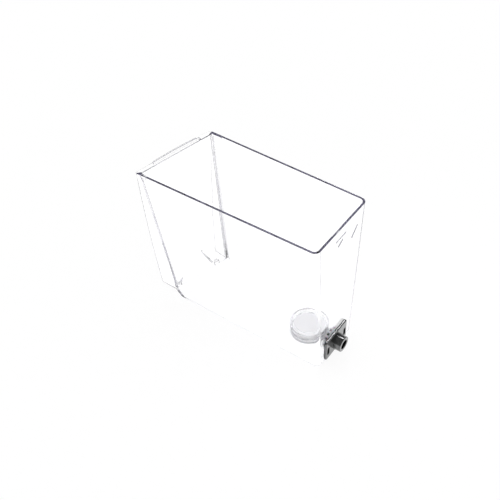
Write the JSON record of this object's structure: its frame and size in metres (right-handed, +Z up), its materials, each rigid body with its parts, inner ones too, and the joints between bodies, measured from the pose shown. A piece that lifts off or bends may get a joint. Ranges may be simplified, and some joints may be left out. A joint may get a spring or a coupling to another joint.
{
  "type": "fresh water tank",
  "caption": "Clear open-topped water tub with a slanted back, a hooked rim tab, a flanged quick-coupling outlet with a sprung shut-off valve, and a low-water float in a round cage.",
  "frame": {"origin": "on the underside of the floor, halfway along the longer side wall's rim and halfway across the tank", "axes": "+X towards the outlet along the tank's length, +Y across the tank towards its shorter back corner, +Z up"},
  "size_m": [0.2832, 0.1216, 0.2285],
  "materials": {
    "clear_plastic": "clear, glossy, moulded polycarbonate",
    "black_plastic": "glossy black moulded nylon",
    "nut_plastic": "natural moulded nylon, pale",
    "rubber": "matt black silicone rubber",
    "washer_plastic": "natural nylon",
    "steel": "stainless steel",
    "white_plastic": "white acetal",
    "frosted_plastic": "translucent frosted polypropylene",
    "float_plastic": "white foamed polypropylene, matt",
    "magnet_metal": "nickel-plated magnet"
  },
  "bodies": {
    "tank": {"tank_shell": "clear_plastic", "outlet_body": "black_plastic", "flange_gasket": "rubber", "nut_washer": "washer_plastic", "ring_nut": "nut_plastic", "retaining_clip": "steel", "strainer_screen": "steel", "spring_guide": "white_plastic", "valve_spring": "steel", "cage_base": "frosted_plastic", "cage_cover": "frosted_plastic"},
    "valve": {"valve_poppet": "white_plastic", "poppet_seal": "rubber"},
    "float": {"float_cup": "float_plastic", "float_magnet": "magnet_metal", "float_lid": "float_plastic"}
  },
  "joints": [
    {"name": "valve_slide", "type": "slide", "parent": "tank", "child": "valve", "axis": [-1, 0, 0], "range_m": [0, 0.0035], "stiffness_N_per_m": 300, "springref_m": -0.004, "deforming": ["valve_spring"]},
    {"name": "float_rise", "type": "slide", "parent": "tank", "child": "float", "axis": [0, 0, 1], "range_m": [0, 0.0045]}
  ]
}
